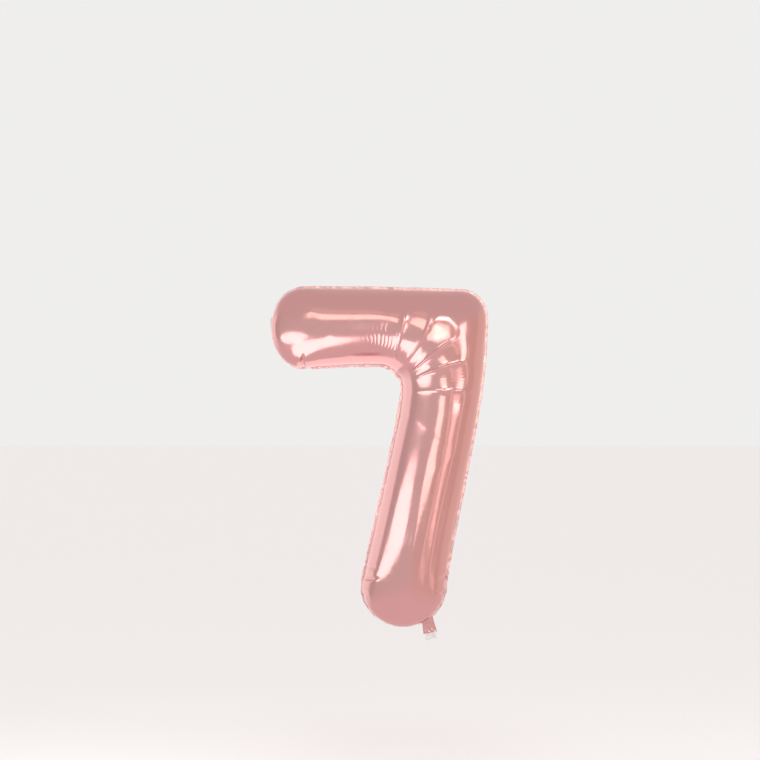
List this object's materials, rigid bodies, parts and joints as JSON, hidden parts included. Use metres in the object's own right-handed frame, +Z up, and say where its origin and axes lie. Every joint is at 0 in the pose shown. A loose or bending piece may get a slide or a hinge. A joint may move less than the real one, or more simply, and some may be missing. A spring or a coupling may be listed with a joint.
{
  "type": "foil number balloon",
  "caption": "Inflated metallised-film numeral seven with a welded edge, a folding tail at its foot and a self-sealing inflation valve.",
  "frame": {"origin": "middle of the neck at the numeral's foot, in the plane of the weld, where the ribbon is tied and the tail folds", "axes": "+Z up the numeral, +X to the right as the numeral is read, +Y from the front panel to the back panel"},
  "size_m": [0.562, 0.2134, 0.9142],
  "materials": {
    "foil": "glossy rose gold metallised film",
    "weld": "flat heat-welded film edge, finely crinkled",
    "clear_film": "clear thin polythene"
  },
  "bodies": {
    "balloon": {"front_panel": "foil", "back_panel": "foil", "perimeter_weld": "weld", "valve_neck_sleeve": "clear_film"},
    "tail": {"tail_front_foil": "foil", "tail_back_foil": "foil", "tail_left_weld": "weld", "tail_right_weld": "weld", "inlet_sleeve": "clear_film"},
    "inlet_front": {"inlet_front_lip": "clear_film"},
    "inlet_back": {"inlet_back_lip": "clear_film"},
    "valve_front": {"valve_front_flap": "clear_film"},
    "valve_back": {"valve_back_flap": "clear_film"}
  },
  "joints": [
    {"name": "tail_fold", "type": "hinge", "parent": "balloon", "child": "tail", "pos_m": [0, 0, 0], "axis": [0.9781, 0, 0.2079], "range_deg": [-95, 95]},
    {"name": "inlet_front_part", "type": "hinge", "parent": "tail", "child": "inlet_front", "pos_m": [0.00484, -0.00035, -0.02279], "axis": [-0.9781, 0, -0.2079], "range_deg": [0, 35], "stiffness_Nm_per_rad": 0.0005},
    {"name": "inlet_back_part", "type": "hinge", "parent": "tail", "child": "inlet_back", "pos_m": [0.00484, 0.00035, -0.02279], "axis": [0.9781, 0, 0.2079], "range_deg": [0, 35], "stiffness_Nm_per_rad": 0.0005},
    {"name": "valve_front_part", "type": "hinge", "parent": "balloon", "child": "valve_front", "pos_m": [-0.00422, -0.00035, 0.01986], "axis": [0.9781, 0, 0.2079], "range_deg": [0, 4], "stiffness_Nm_per_rad": 0.002},
    {"name": "valve_back_part", "type": "hinge", "parent": "balloon", "child": "valve_back", "pos_m": [-0.00422, 0.00035, 0.01986], "axis": [-0.9781, 0, -0.2079], "range_deg": [0, 4], "stiffness_Nm_per_rad": 0.002}
  ],
  "couplings": [
    {"joint": "inlet_back_part", "follows": "inlet_front_part", "ratio": 1},
    {"joint": "valve_back_part", "follows": "valve_front_part", "ratio": 1}
  ]
}
